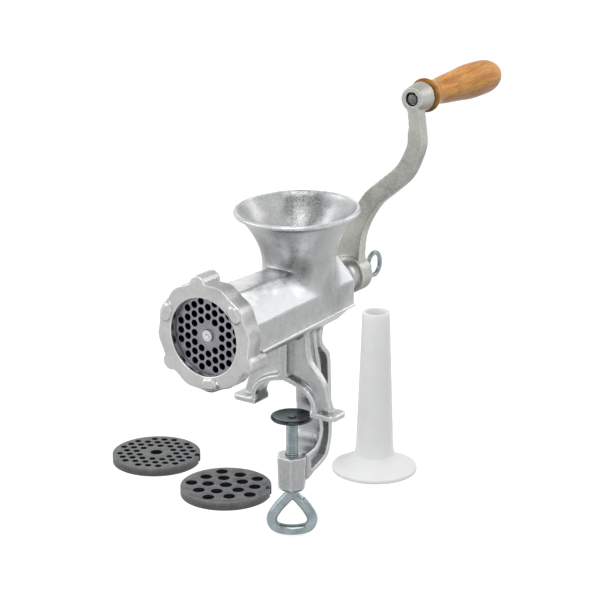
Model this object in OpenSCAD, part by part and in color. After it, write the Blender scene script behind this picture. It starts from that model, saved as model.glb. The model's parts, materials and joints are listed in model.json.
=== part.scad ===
// Hand crank meat grinder for a table edge, size No. 8, with two spare plates and a stuffing tube.
// Millimetres, +Z up. The origin lies on the table top, on the clamp screw's axis. The barrel runs
// along Y with its outlet toward -Y and its crank toward +Y.

/* [Barrel] */
// Height of the barrel's axis above the table
axis_h = 85; // [78:1:95]
// Half of the barrel's width across flats at the outlet
barrel_front_r = 28; // [27:0.5:32]
// Half of the barrel's width across flats at the crank end
barrel_rear_r = 26; // [25:0.5:30]
// Width of the barrel's top and bottom flats at the outlet
barrel_flat_w = 23; // [16:0.5:30]
// Height of the side flats above the axis at the outlet
side_up = 7; // [4:0.5:12]
// Depth of the side flats below the axis at the outlet
side_down = 14.6; // [12:0.2:18]
// Height of the side flats above the axis at the crank end
rear_side_up = 8.5; // [5:0.5:12]
// Depth of the side flats below the axis at the crank end
rear_side_down = 11.3; // [9:0.1:15]
// Distance from the clamp screw's axis to the rear face of the barrel
barrel_rear_y = 46; // [40:1:56]
// Radius of the bore that the auger turns in
bore_r = 21.5; // [19:0.5:22.5]
// Thickness of the barrel's rear wall
rear_wall = 7; // [5:0.5:10]
// Radius of the bead along the barrel's lower edges
bead_r = 1.3; // [0.8:0.1:2]
// Radius of the rear bearing at the barrel
bearing_r = 17.2; // [15:0.2:20]
// Radius of the rear bearing at the crank
bearing_end_r = 12.5; // [12:0.1:14]
// Length of the rear bearing beyond the barrel
bearing_len = 26; // [22:1:36]
// Length of the bearing's thick part beyond the barrel
bearing_thick_len = 12; // [6:1:14]

/* [Hopper] */
// Distance from the clamp screw's axis to the hopper's axis
hopper_y = 10.5; // [6:0.5:14]
// Height of the hopper's rim above the barrel's axis
hopper_h = 69.5; // [60:0.5:85]
// Radius of the hopper's rim
hopper_rim_r = 47.5; // [42:0.5:54]
// Radius of the hopper's throat on the outside
hopper_throat_r = 27.5; // [24:0.5:29]
// Radius of the hopper's throat on the inside
hopper_hole_r = 21; // [18:0.5:21.4]
// Thickness of the hopper's wall at the rim
hopper_wall = 3.4; // [2.5:0.1:5]
// Radius of the bead around the hopper's rim
rim_bead_r = 2; // [1.8:0.1:3]
// Lean of the hopper toward the outlet, in degrees
hopper_lean = 3; // [0:0.5:4]

/* [Feet and clamp frame] */
// Distance from the middle to the outer tip of a foot
foot_tip_x = 47; // [44:0.5:54]
// Width of a foot's sole
foot_w = 22; // [18:0.5:26]
// Depth of a foot's sole along the barrel
foot_depth = 19; // [17:1:24]
// Thickness of a foot's sole
foot_t = 4.5; // [3:0.5:7]
// Depth of the arch along the barrel
arch_depth = 17; // [12:1:24]
// Distance from the clamp screw's axis to the front of the arch
arch_front = 12.5; // [11:1:17]
// Height of the arch's opening above the table
arch_h = 24; // [18:1:28]
// Thickness of the webs between the flanges
web_t = 6; // [4:0.5:8]
// Width of the rounded flanges around the webs
flange_w = 4.2; // [3:0.2:6]
// Width of the clamp frame
frame_w = 22; // [16:1:26]
// Distance from the clamp screw's axis to the front of the clamp frame
throat_depth = 20; // [18:1:26]
// Thickness of the clamp frame from front to back
frame_t = 18.6; // [14:1:24]
// Depth of the screw boss's top below the table
boss_top = 39.5; // [34:1:60]
// Length of the screw boss
boss_len = 29; // [20:1:36]
// Radius of the six-sided screw boss at its corners
boss_r = 12.7; // [11:0.1:15]

/* [Clamp screw] */
// Radius of the clamp screw
clamp_screw_r = 4.7; // [4:0.1:5.5]
// Radius of the bent loop's rod
loop_rod_r = 4.3; // [3:0.1:4.5]
// Width of the loop between the middles of its rod
loop_w = 31.4; // [26:0.2:40]
// Height of the loop between the middles of its rod
loop_h = 31.6; // [26:0.1:40]
// Angle of the loop about the screw's axis
loop_turn = 34; // [0:1:90]
// Radius of the pressure disc
disc_r = 16.5; // [12:0.5:18]
// Thickness of the pressure disc
disc_t = 3; // [2:0.5:4]
// Gap between the feet's plane and the disc
jaw_gap = 7.5; // [5:0.5:26]

/* [Ring nut and plates] */
// Distance from the clamp screw's axis to the front face of the ring nut
ring_front_y = 110; // [104:1:126]
// Length of the ring nut along the barrel
ring_len = 15; // [13:1:18]
// Mean radius of the ring nut's outside
ring_r = 40; // [38.5:0.2:44]
// Radius of the ring nut's opening
ring_open_r = 28.8; // [24:0.2:29.5]
// Thickness of the ring nut's front lip
ring_lip = 6; // [4:0.5:7]
// Height of the three lugs above the ring
lug_h = 4.8; // [3:0.2:8]
// Length of the three lugs along the barrel
lug_len = 20; // [16:1:24]
// Radius of a hole plate
plate_r = 31; // [29.5:0.1:31.5]
// Thickness of a hole plate
plate_t = 6; // [5:0.5:7]
// Width of the notch in a plate's edge
notch_w = 4.4; // [4:0.2:6]
// Diameter of the mounted plate's holes
medium_hole_d = 5.2; // [4:0.1:5.8]
// Spacing of the mounted plate's holes
medium_pitch = 6.95; // [6.8:0.05:7.2]

/* [Auger and knife] */
// Radius of the auger's flights
auger_r = 20.5; // [16:0.5:21]
// Radius of the auger's core at the outlet end
auger_core_r = 10; // [8:0.5:12]
// Distance that one turn of the auger's flight covers
auger_pitch = 34; // [24:1:44]
// Radius of the auger's journal in the rear bearing
journal_r = 10; // [9:0.5:11]
// Side of the square that drives the crank
drive_square = 13; // [11:0.5:14]
// Side of the square that drives the knife
knife_square = 9; // [8.2:0.2:11]
// Radius of the stud's tip in the plate
stud_r = 4.1; // [3.5:0.1:4.1]
// Length of the knife's arms from the axis
knife_r = 26.5; // [23:0.5:27]
// Thickness of the knife's arms
knife_t = 4; // [3:0.5:4]
// Length of the knife's hub
knife_hub_len = 8; // [6:0.5:8.5]

/* [Crank] */
// Radius of the crank's hub
hub_r = 14.6; // [13.6:0.2:18]
// Length of the crank's hub
hub_len = 14; // [12:1:18]
// Sideways distance from the barrel's axis to the handle
handle_x = 54.5; // [45:0.5:65]
// Upward distance from the barrel's axis to the handle
handle_z = 145; // [125:1:165]
// Thickness of the crank's arm
arm_t = 9.5; // [7:0.5:11]
// Width of the crank's arm at the hub
arm_root_w = 25; // [20:0.5:30]
// Width of the crank's arm at the handle
arm_end_w = 10.6; // [7:0.2:14]
// Width of the crank's arm in its middle
arm_mid_w = 15; // [12:0.5:18]
// Radius of the crank's upper boss at the handle
top_boss_r = 11.3; // [10:0.1:14]
// Radius of the crank's upper boss at its free face
top_boss_front_r = 9.2; // [8:0.1:12]
// Length of the crank's upper boss
top_boss_len = 15.5; // [12:0.5:18]
// Radius of the crank screw
crank_screw_r = 4; // [3.5:0.1:4.5]
// Length of the crank screw's thread
crank_screw_len = 26; // [18:1:27]
// Outer radius of the crank screw's eye
eye_r = 11; // [9:0.5:13]

/* [Handle] */
// Length of the wooden handle
handle_len = 105; // [85:1:120]
// Radius of the handle's collar
handle_collar_r = 13; // [12:0.2:15]
// Radius of the handle's neck
handle_neck_r = 9.3; // [9:0.2:12]
// Radius of the handle's thickest part
handle_bulge_r = 13.6; // [12.6:0.2:17]
// Radius of the handle's pin
handle_pin_r = 3.5; // [3:0.1:4.5]
// Radius of the handle pin's head
pin_head_r = 5.6; // [5:0.2:6.5]

/* [Loose plates and tube] */
// Sideways place of the fine plate on the table
fine_x = -16.7; // [-60:0.1:20]
// Distance from the fine plate to the clamp screw's axis
fine_y = 144.3; // [144:0.1:180]
// Sideways place of the coarse plate on the table
coarse_x = 59.2; // [50:0.1:90]
// Distance from the coarse plate to the clamp screw's axis
coarse_y = 164.4; // [144:0.1:180]
// Sideways place of the stuffing tube on the table
tube_x = 118.9; // [90:0.1:150]
// Distance from the stuffing tube to the clamp screw's axis
tube_y = 70.3; // [40:0.1:110]
// Diameter of the fine plate's holes
fine_hole_d = 4.4; // [3:0.1:5.2]
// Spacing of the fine plate's holes
fine_pitch = 7.15; // [6.8:0.05:7.2]
// Diameter of the coarse plate's holes
coarse_hole_d = 8; // [6:0.2:8.4]
// Radius of the coarse plate's inner circle of holes
coarse_inner_r = 12.3; // [12:0.1:13]
// Radius of the coarse plate's middle circle of holes
coarse_middle_r = 20; // [19.5:0.1:21]
// Radius of the coarse plate's outer circle of holes
coarse_outer_r = 23.8; // [22:0.1:24]
// Turn of the fine plate about its middle
fine_turn = -65; // [-180:1:180]
// Turn of the coarse plate about its middle
coarse_turn = -65; // [-180:1:180]
// Radius of the stuffing tube's flange
tube_flange_r = 29.6; // [29.2:0.2:31]
// Height of the stuffing tube
tube_h = 115.5; // [90:1:150]
// Radius of the stuffing tube's tip
tube_tip_r = 9.4; // [8:0.2:12]
// Radius of the stuffing tube at its foot
tube_foot_r = 13; // [12:0.2:18]
// Thickness of the stuffing tube's wall
tube_wall = 1.8; // [1.4:0.1:3]

/* [Hidden] */
$fn = 96;

// clearances
turn_gap = 0.05;      // shaft in its bearing
end_gap = 0.3;        // faces that move past each other
thread_gap = 0.1;     // screw in its thread
slot_gap = 0.15;      // square or key in its slot
plate_gap = 0.2;      // plate in its seat
over = 0.5;           // how far a cut runs past a face

// stations along the barrel, from the outlet to the crank
nose_len = 3.7;       // narrow front of the crank's hub
nose_r = 11.5;
plate_front_y = ring_lip - ring_front_y;
plate_back_y = plate_front_y + plate_t;
plate_proud = 0.7;    // the plate stands out of its seat, so that the ring can press it
collar_front_y = plate_front_y + plate_proud;
knife_front_y = plate_back_y + end_gap;
auger_front_y = knife_front_y + knife_hub_len;
chamber_deep_y = knife_front_y + knife_t + 1.2;
bore_front_y = chamber_deep_y + 4.5;
ring_back_y = ring_len - ring_front_y;
neck_front_y = ring_back_y + 1;
barrel_front_y = neck_front_y + 4;
bore_back_y = barrel_rear_y - rear_wall;
bearing_back_y = barrel_rear_y + bearing_len;
bearing_end = rear_wall + bearing_len;
bearing_thick_y = rear_wall + bearing_thick_len - 2;
nose_front_y = bearing_back_y + end_gap;
hub_front_y = nose_front_y + nose_len;
hub_back_y = hub_front_y + hub_len;

// seat of the plates, ring nut and key
seat_r = plate_r + plate_gap;
seat_wall = 3.3;
collar_r = seat_r + seat_wall;
chamber_r = knife_r + 0.8;
lug_count = 3;
lug_r = 6.5;
lug_step = 0.3;        // the lugs end this far behind the front face
first_lug_a = 98;     // from +X, seen from the outlet
lobe_count = 12;
lobe_h = 0.7;
pad_l = 12.5;
pad_w = 7.5;
pad_h = 1.4;
pad_sunk = 2;
pad_at_r = (ring_r + ring_open_r) / 2 + 0.3;
key_r = notch_w / 2 - slot_gap;
key_at_r = plate_r - 1;
key_sunk = 4;
key_front_gap = 1.5;
notch_deep_r = key_at_r - key_r - slot_gap;
stud_hole_r = stud_r + turn_gap;
blank_r = 11;         // no holes nearer to a plate's middle than this
plate_edge = 2.5;

// auger, knife and rear end
washer_t = 1.5;
washer_r = 15;
shoulder_t = 4;
shoulder_r = 13.5;
washer_front_y = bore_back_y - washer_t;
shoulder_back_y = washer_front_y - end_gap;
flight_back_y = shoulder_back_y - shoulder_t;
flight_len = flight_back_y - auger_front_y;
tip_half_a = 22;      // half of the angle that a flight covers at its tip
root_half_a = 50;     // and at its root
journal_back_y = bearing_back_y;
hub_web = 4;          // end wall of the hub that the crank screw clamps
square_back_y = hub_back_y - hub_web - end_gap;
stud_sunk = 12;
stud_root_r = 4;
stud_tip_y = plate_front_y - 1.4;
crank_screw_tip_y = hub_back_y - crank_screw_len;
crank_hole_end_y = crank_screw_tip_y - 2;

// knife arms
arm_count = 4;
knife_arm_w = 9;
knife_hub_r = 10;

// crank
arm_front_y = hub_front_y + 2;
top_boss_front_y = arm_front_y;
top_boss_back_y = top_boss_front_y + top_boss_len;
recess_r = handle_pin_r + 1.7;
recess_t = 3;
pin_end_t = 2;
eye_shoulder_r = 7;
eye_shoulder_len = 3;
eye_neck_len = 11;
eye_neck_r = 3.4;
eye_rod_r = 1.9;
eye_half_w = 10.5;       // half of the eye's width along the screw
eye_bend_r = eye_half_w - eye_rod_r;
eye_straight = eye_r - eye_half_w;
eye_front_y = hub_back_y + eye_shoulder_len + eye_neck_len;
eye_mid_y = eye_front_y + eye_half_w;
// the course of the crank's arm, as shares of handle_x and handle_z, with its width
arm_course = [
  [0, 0, arm_root_w], [-0.031, 0.1, arm_root_w - 2], [0.048, 0.22, arm_mid_w + 2.3], [0.126, 0.29, arm_mid_w],
  [0.23, 0.368, arm_mid_w], [0.39, 0.45, arm_mid_w], [0.6, 0.517, arm_mid_w], [0.856, 0.604, arm_mid_w - 0.5],
  [0.985, 0.688, arm_mid_w - 1.5], [1.054, 0.763, arm_mid_w - 2], [1.053, 0.827, arm_end_w + 1.6],
  [1.05, 0.87, arm_end_w], [1, 1, arm_end_w]
];

// handle
handle_washer_t = 1.5;
handle_washer_r = 9;
handle_front_y = top_boss_back_y + handle_washer_t + end_gap;
handle_back_y = handle_front_y + handle_len;
head_sunk = 5;
head_t = 3;

// hopper, measured up from the barrel's axis
flare_low = 30;       // the throat is straight up to here
flare_high = hopper_h - rim_bead_r;
rim_mid_r = hopper_rim_r - rim_bead_r;
flare_steps = 12;

// feet
arch_back_y = arch_depth - arch_front;
waist = 17;
leg_foot_x = foot_tip_x - 7;
foot_in_x = foot_tip_x - foot_w;
rib_w = 6.5;
sole_r = 5;           // rounding of a sole's outer corners
sole_mid_y = arch_back_y - arch_depth / 2;
web_front_y = web_t / 2 - 4 - web_t;
web_back_y = web_front_y + web_t;
stem_w = 16;

// clamp
frame_back_y = throat_depth + frame_t;
disc_low = -jaw_gap - disc_t;
screw_tip_r = clamp_screw_r - 1.2;
screw_tip_top = -jaw_gap - 0.8;
loop_top = -boss_top - boss_len - 2.4;
boss_chamfer = 3;
boss_draft = 1;

function mirrored(half) =
  concat(half, [for (i = [len(half) - 1:-1:0]) if (half[i][0] != 0) [-half[i][0], half[i][1]]]);

// a smooth curve through the points p, with n steps between each pair
function between(a, b, c, d, t) =
  0.5 * (2 * b + (c - a) * t + (2 * a - 5 * b + 4 * c - d) * t * t + (3 * b - a - 3 * c + d) * t * t * t);
function smooth(p, n = 5) = concat(
  [for (i = [0:len(p) - 2], k = [0:n - 1])
    between(p[max(i - 1, 0)], p[i], p[i + 1], p[min(i + 2, len(p) - 1)], k / n)],
  [p[len(p) - 1]]);

// a band along the curve p, with the width w[i] at p[i]
function across(p, i) =
  let (d = p[min(i + 1, len(p) - 1)] - p[max(i - 1, 0)]) [-d[1], d[0]] / norm(d);
function band(p, w) = concat(
  [for (i = [0:len(p) - 1]) p[i] + across(p, i) * w[i] / 2],
  [for (i = [len(p) - 1:-1:0]) p[i] - across(p, i) * w[i] / 2]);

// puts a shape drawn along +Z on the barrel's axis at y, running toward the crank
module toward_crank(y) translate([0, y, axis_h]) rotate([-90, 0, 0]) children();

// puts an outline drawn in X and Z on the barrel's axis at y, running toward the outlet
module toward_outlet(y) translate([0, y, axis_h]) rotate([90, 0, 0]) children();

// an outline drawn in X and Z from the table up, between y and y - depth
module front_profile(y, depth) translate([0, y, 0]) rotate([90, 0, 0]) linear_extrude(depth) children();

// an outline drawn in Y and Z, with its width centred on X
module side_profile(w) rotate([90, 0, 90]) translate([0, 0, -w / 2]) linear_extrude(w) children();

// a round rod between two points
module rod(a, b, r) {
  d = b - a;
  translate(a) rotate([0, acos(d[2] / norm(d)), atan2(d[1], d[0])]) cylinder(r = r, h = norm(d));
}

// Body

// half of the barrel's width across flats r, and its side flats from down to up
function barrel_section(r, up, down) =
  let (flat = barrel_flat_w / 2 * r / barrel_front_r) mirrored([[flat, r], [r, up], [r, -down], [flat, -r]]);

module barrel_slab(y, r, up, down) toward_outlet(y) linear_extrude(over) polygon(barrel_section(r, up, down));

module barrel_outside() {
  hull() {
    barrel_slab(barrel_front_y + over, barrel_front_r, side_up, side_down);
    barrel_slab(barrel_rear_y, barrel_rear_r, rear_side_up, rear_side_down);
  }
  toward_crank(neck_front_y)
    cylinder(r1 = collar_r - 1.5, r2 = barrel_front_r, h = barrel_front_y - neck_front_y);
  toward_crank(collar_front_y) cylinder(r = collar_r, h = neck_front_y - collar_front_y);
  toward_crank(bore_back_y) rotate_extrude() polygon(concat(
    [[0, 0]], smooth([
      [bearing_r, 0], [bearing_r, bearing_thick_y], [bearing_r - 1.2, bearing_thick_y + 4],
      [bearing_end_r + 0.6, bearing_thick_y + 8], [bearing_end_r, bearing_thick_y + 11], [bearing_end_r, bearing_end]
    ], 4), [[0, bearing_end]]));
  for (side = [-1, 1])
    rod([side * barrel_front_r, barrel_front_y, axis_h - side_down],
      [side * barrel_rear_r, barrel_rear_y, axis_h - rear_side_down], bead_r);
}

module barrel_inside() {
  toward_crank(collar_front_y - over) cylinder(r = seat_r, h = plate_back_y - collar_front_y + over);
  toward_crank(plate_back_y - over) cylinder(r = chamber_r, h = chamber_deep_y - plate_back_y + over);
  toward_crank(chamber_deep_y) cylinder(r1 = chamber_r, r2 = bore_r, h = bore_front_y - chamber_deep_y);
  toward_crank(bore_front_y - over) cylinder(r = bore_r, h = bore_back_y - bore_front_y + over);
  toward_crank(bore_back_y - over)
    cylinder(r = journal_r + turn_gap, h = bearing_back_y - bore_back_y + 2 * over);
}

function flare(z, low_r, high_r) =
  low_r + (high_r - low_r) * pow(max(z - flare_low, 0) / (flare_high - flare_low), 1.8);
function flare_curve(low_r, high_r, top) = [
  for (i = [0:flare_steps]) let (z = flare_low + (top - flare_low) * i / flare_steps) [flare(z, low_r, high_r), z]];

module on_hopper_axis() translate([0, hopper_y, axis_h]) rotate([hopper_lean, 0, 0]) children();

module hopper_outside() on_hopper_axis() {
  rotate_extrude()
    polygon(concat([[0, side_up], [hopper_throat_r, side_up]],
      flare_curve(hopper_throat_r, rim_mid_r, flare_high), [[0, flare_high]]));
  translate([0, 0, flare_high]) rotate_extrude() translate([rim_mid_r, 0]) circle(rim_bead_r, $fn = 32);
}

module hopper_inside() on_hopper_axis()
  rotate_extrude()
    polygon(concat([[0, 0], [hopper_hole_r, 0]],
      flare_curve(hopper_hole_r, hopper_rim_r - hopper_wall, flare_high),
      [[hopper_rim_r - hopper_wall, hopper_h + over], [0, hopper_h + over]]));

// the opening under the feet, and the web above it
arch_half = smooth([
  [foot_in_x, 0], [foot_in_x + 0.5, arch_h / 3], [foot_in_x - 2, arch_h * 0.56],
  [foot_in_x - 7, arch_h * 0.74], [foot_in_x - 15, arch_h * 0.9], [0, arch_h]
]);
leg_half = smooth([
  [waist, axis_h - barrel_rear_r + 7], [waist + 0.5, arch_h + 31], [waist + 2, arch_h + 21],
  [waist + 5, arch_h + 15], [waist + 10, arch_h + 10], [leg_foot_x - 8.5, arch_h + 5],
  [leg_foot_x - 5.5, arch_h], [leg_foot_x - 3, arch_h - 9], [leg_foot_x - 0.5, foot_t + 2.5], [leg_foot_x, 0]
]);

module leg_outline() polygon(mirrored(concat(leg_half, arch_half)));

module legs() {
  front_profile(web_back_y, web_t) leg_outline();
  front_profile(arch_back_y, arch_depth) intersection() {
    leg_outline();
    union() {
      offset(delta = flange_w) polygon(mirrored(concat(arch_half, [[0, -flange_w]])));
      translate([0, axis_h / 2]) square([rib_w, axis_h], center = true);
    }
  }
  for (side = [-1, 1]) linear_extrude(foot_t) translate([side * (foot_tip_x - foot_w / 2), sole_mid_y]) sole(side);
}

// one foot's sole in plan, with its outer end rounded
module sole(side) {
  translate([-side * sole_r / 2, 0]) square([foot_w - sole_r, foot_depth], center = true);
  translate([side * sole_r / 2, 0]) square([foot_w - sole_r, foot_depth - 2 * sole_r], center = true);
  for (end = [-1, 1])
    translate([side * (foot_w / 2 - sole_r), end * (foot_depth / 2 - sole_r)]) circle(sole_r, $fn = 48);
}

function frame_outline() = concat(
  smooth([
    [frame_back_y - 9, axis_h - barrel_rear_r + 6], [frame_back_y - 13, arch_h + 26],
    [frame_back_y - 10, arch_h + 19], [frame_back_y - 4, arch_h + 13], [frame_back_y - 1.5, arch_h + 6],
    [frame_back_y - 0.5, arch_h / 2], [frame_back_y, 0], [frame_back_y + 1, 15 - boss_top],
    [frame_back_y + 0.5, 4 - boss_top], [frame_back_y - 4, -8.5 - boss_top],
    [frame_back_y - 12, -13.5 - boss_top], [frame_back_y - 23, -17 - boss_top], [boss_r - 6, -21 - boss_top]
  ]),
  smooth([
    [boss_r - 6, 1 - boss_top], [throat_depth - 5, 2.5 - boss_top], [throat_depth, 6 - boss_top],
    [throat_depth + 3.5, 13 - boss_top], [throat_depth + 2.5, 20 - boss_top], [throat_depth + 0.5, 0],
    [throat_depth, arch_h], [throat_depth - 4, arch_h + 16], [throat_depth - 8, axis_h - barrel_rear_r + 6]
  ]));

module clamp_frame() difference() {
  side_profile(frame_w) polygon(frame_outline());
  for (side = [-1, 1])
    translate([side * (frame_w + over) / 2, 0, 0])
      side_profile(frame_w - web_t + over)
        offset(delta = -flange_w) polygon(frame_outline());
}

module screw_boss() {
  translate([0, 0, -boss_top - boss_len + boss_chamfer])
    cylinder(r1 = boss_r - boss_draft, r2 = boss_r, h = boss_len - boss_chamfer, $fn = 6);
  translate([0, 0, -boss_top - boss_len])
    cylinder(r1 = boss_r - boss_draft - boss_chamfer, r2 = boss_r - boss_draft, h = boss_chamfer, $fn = 6);
}

module grinder_body() color("gainsboro") difference() {
  union() {
    barrel_outside();
    hopper_outside();
    legs();
    clamp_frame();
    side_profile(stem_w)
      polygon([
        [web_front_y, arch_h], [throat_depth + flange_w, arch_h],
        [throat_depth, axis_h - barrel_rear_r + over], [web_front_y, axis_h - barrel_rear_r + over]
      ]);
    screw_boss();
  }
  barrel_inside();
  hopper_inside();
  translate([0, 0, -boss_top - boss_len - over]) cylinder(r = clamp_screw_r + thread_gap, h = boss_len + 2 * over);
  key_place(collar_front_y - over) cylinder(r = key_r, h = plate_back_y + key_sunk - collar_front_y + over);
}

// Ring nut, plates and key

module key_place(y) translate([0, 0, key_at_r]) toward_crank(y) children();

module plate_key() color("silver")
  key_place(plate_front_y + key_front_gap)
    cylinder(r = key_r, h = plate_back_y + key_sunk - plate_front_y - key_front_gap);

function ring_outline() = [
  for (i = [0:119]) let (a = i * 3) (ring_r + lobe_h * cos(lobe_count * a)) * [cos(a), sin(a)]];

// one lug, which reaches back past the ring and stays clear of the barrel's collar there
module lug() difference() {
  translate([ring_r + lug_h - lug_r, 0, ring_len - lug_len]) cylinder(r = lug_r, h = lug_len - lug_step);
  translate([0, 0, ring_len - lug_len - over]) cylinder(r = collar_r + 2, h = lug_len - ring_len + 2 * over);
}

module pad() translate([0, 0, ring_len - pad_sunk]) linear_extrude(pad_sunk + pad_h) hull()
  for (side = [-1, 1]) translate([pad_at_r, side * (pad_l - pad_w) / 2]) circle(d = pad_w, $fn = 32);

module ring_nut() color("gainsboro") toward_outlet(ring_back_y) difference() {
  union() {
    linear_extrude(ring_len) rotate(first_lug_a) polygon(ring_outline());
    for (i = [0:lug_count - 1]) {
      rotate(first_lug_a + i * 360 / lug_count) lug();
      rotate(first_lug_a + (i + 0.5) * 360 / lug_count) pad();
    }
  }
  translate([0, 0, -over]) cylinder(r = collar_r + thread_gap, h = ring_len - ring_lip + over);
  translate([0, 0, -over]) cylinder(r = ring_open_r, h = ring_len + pad_h + 2 * over);
}

function hole_at(i, j, pitch) = [i * pitch * cos(30), (j + (i % 2 == 0 ? 0 : 0.5)) * pitch];

module plate_blank() difference() {
  circle(plate_r);
  circle(stud_hole_r);
  translate([0, notch_deep_r + plate_r / 2]) square([notch_w, plate_r], center = true);
}

module hole_plate(hole_d, pitch) linear_extrude(plate_t) difference() {
  plate_blank();
  for (i = [-5:5], j = [-6:5]) {
    p = hole_at(i, j, pitch);
    if (norm(p) > blank_r && norm(p) < plate_r - plate_edge - hole_d / 2 && clear_of_notch(p, hole_d))
      translate(p) circle(d = hole_d, $fn = 32);
  }
}

function clear_of_notch(p, hole_d) =
  abs(p[0]) > (notch_w + hole_d) / 2 + 0.5 || p[1] < notch_deep_r - hole_d / 2 - 1;

module plate_medium() color("dimgray")
  toward_outlet(plate_back_y) hole_plate(medium_hole_d, medium_pitch);

module plate_fine() color("dimgray")
  translate([fine_x, -fine_y, 0]) rotate(fine_turn) hole_plate(fine_hole_d, fine_pitch);

module plate_coarse() color("dimgray")
  translate([coarse_x, -coarse_y, 0]) rotate(coarse_turn) linear_extrude(plate_t) difference() {
    plate_blank();
    for (i = [0:4]) rotate(i * 72 + 90 + 36) translate([coarse_inner_r, 0]) circle(d = coarse_hole_d);
    for (i = [0:9]) rotate(i * 36 + 90)
      translate([i % 2 == 0 ? coarse_middle_r : coarse_outer_r, 0]) circle(d = coarse_hole_d);
  }

// Auger, stud and knife

module square_bar(side, len) translate([-side / 2, -side / 2, 0]) cube([side, side, len]);

module cutter_knife() color("silver") toward_crank(knife_front_y) difference() {
  union() {
    cylinder(r = knife_hub_r, h = knife_hub_len);
    intersection() {
      cylinder(r = knife_r, h = knife_t);
      for (i = [0:arm_count - 1]) rotate(i * 360 / arm_count)
        translate([0, -knife_arm_w * 0.35, 0]) cube([knife_r + over, knife_arm_w, knife_t]);
    }
  }
  translate([0, 0, -over]) square_bar(knife_square + 2 * slot_gap, knife_hub_len + 2 * over);
}

function flight_section() = concat(
  [for (k = [-2:2]) auger_r * [cos(k * tip_half_a / 2), sin(k * tip_half_a / 2)]],
  [for (k = [2:-1:-2]) (journal_r - 2) * [cos(k * root_half_a / 2), sin(k * root_half_a / 2)]]);

module auger_screw() color("lightgray") difference() {
  union() {
    toward_crank(auger_front_y) {
      cylinder(r1 = auger_core_r + 2, r2 = auger_core_r, h = flight_len);
      linear_extrude(flight_len, twist = 360 * flight_len / auger_pitch,
        slices = round(24 * flight_len / auger_pitch), $fn = 16)
          polygon(flight_section());
    }
    toward_crank(flight_back_y) cylinder(r = shoulder_r, h = shoulder_t);
    toward_crank(shoulder_back_y - over) cylinder(r = journal_r, h = journal_back_y - shoulder_back_y + over);
    toward_crank(journal_back_y - over) square_bar(drive_square, square_back_y - journal_back_y + over);
  }
  toward_crank(auger_front_y - over) cylinder(r = stud_root_r, h = stud_sunk + over);
  toward_crank(crank_hole_end_y) cylinder(r = crank_screw_r + thread_gap, h = square_back_y - crank_hole_end_y + over);
}

module auger_stud() color("silver") difference() {
  union() {
    toward_crank(auger_front_y - over) cylinder(r = stud_root_r, h = stud_sunk + over);
    toward_crank(knife_front_y) square_bar(knife_square, auger_front_y - knife_front_y);
    toward_crank(stud_tip_y) cylinder(r = stud_r, h = knife_front_y - stud_tip_y + over);
  }
  toward_crank(stud_tip_y - over) cylinder(r1 = 2, r2 = 0.5, h = 1 + over);
}

module thrust_washer() color("goldenrod") toward_crank(washer_front_y) difference() {
  cylinder(r = washer_r, h = washer_t);
  translate([0, 0, -over]) cylinder(r = journal_r + end_gap, h = washer_t + 2 * over);
}

// Crank

arm_line = smooth([for (p = arm_course) [p[0] * handle_x, p[1] * handle_z, p[2]]]);
arm_path = [for (p = arm_line) [p[0], p[1]]];
arm_widths = [for (p = arm_line) p[2]];

module at_handle(y) translate([handle_x, 0, handle_z]) toward_crank(y) children();

module crank_arm() color("silver") difference() {
  union() {
    toward_crank(nose_front_y) cylinder(r = nose_r, h = nose_len + over);
    toward_crank(hub_front_y) cylinder(r = hub_r, h = hub_len);
    toward_outlet(arm_front_y + arm_t) linear_extrude(arm_t) polygon(band(arm_path, arm_widths));
    at_handle(top_boss_front_y) cylinder(r1 = top_boss_front_r, r2 = top_boss_r, h = top_boss_len);
  }
  toward_crank(nose_front_y - over)
    square_bar(drive_square + 2 * slot_gap, nose_len + hub_len - hub_web + over);
  toward_crank(hub_front_y) cylinder(r = crank_screw_r + thread_gap, h = hub_len + over);
  at_handle(top_boss_front_y - over) cylinder(r = handle_pin_r, h = top_boss_len + 2 * over);
  at_handle(top_boss_front_y - over) cylinder(r = recess_r, h = recess_t + over);
}

module eye() {
  for (side = [-1, 1]) {
    translate([0, side * eye_straight, 0]) rotate(side > 0 ? 0 : 180)
      rotate_extrude(angle = 180) translate([eye_bend_r, 0]) circle(eye_rod_r, $fn = 32);
    translate([side * eye_bend_r, 0, 0]) rod([0, -eye_straight, 0], [0, eye_straight, 0], eye_rod_r);
  }
}

module crank_screw() color("lightsteelblue") {
  toward_crank(crank_screw_tip_y) cylinder(r = crank_screw_r, h = crank_screw_len + over);
  toward_crank(hub_back_y) cylinder(r = eye_shoulder_r, h = eye_shoulder_len);
  toward_crank(hub_back_y) cylinder(r = eye_neck_r, h = eye_shoulder_len + eye_neck_len + eye_rod_r);
  translate([0, eye_mid_y, axis_h]) rotate([90, 0, 90]) eye();
}

// Handle

module handle_pin() color("lightsteelblue") {
  at_handle(top_boss_front_y + recess_t - pin_end_t)
    cylinder(r = handle_pin_r, h = handle_back_y - head_sunk - top_boss_front_y - recess_t + pin_end_t + over);
  at_handle(handle_back_y - head_sunk + end_gap) cylinder(r = pin_head_r, h = head_t);
}

module handle_washer() color("silver") at_handle(top_boss_back_y) difference() {
  cylinder(r = handle_washer_r, h = handle_washer_t);
  translate([0, 0, -over]) cylinder(r = handle_pin_r + turn_gap, h = handle_washer_t + 2 * over);
}

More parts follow.
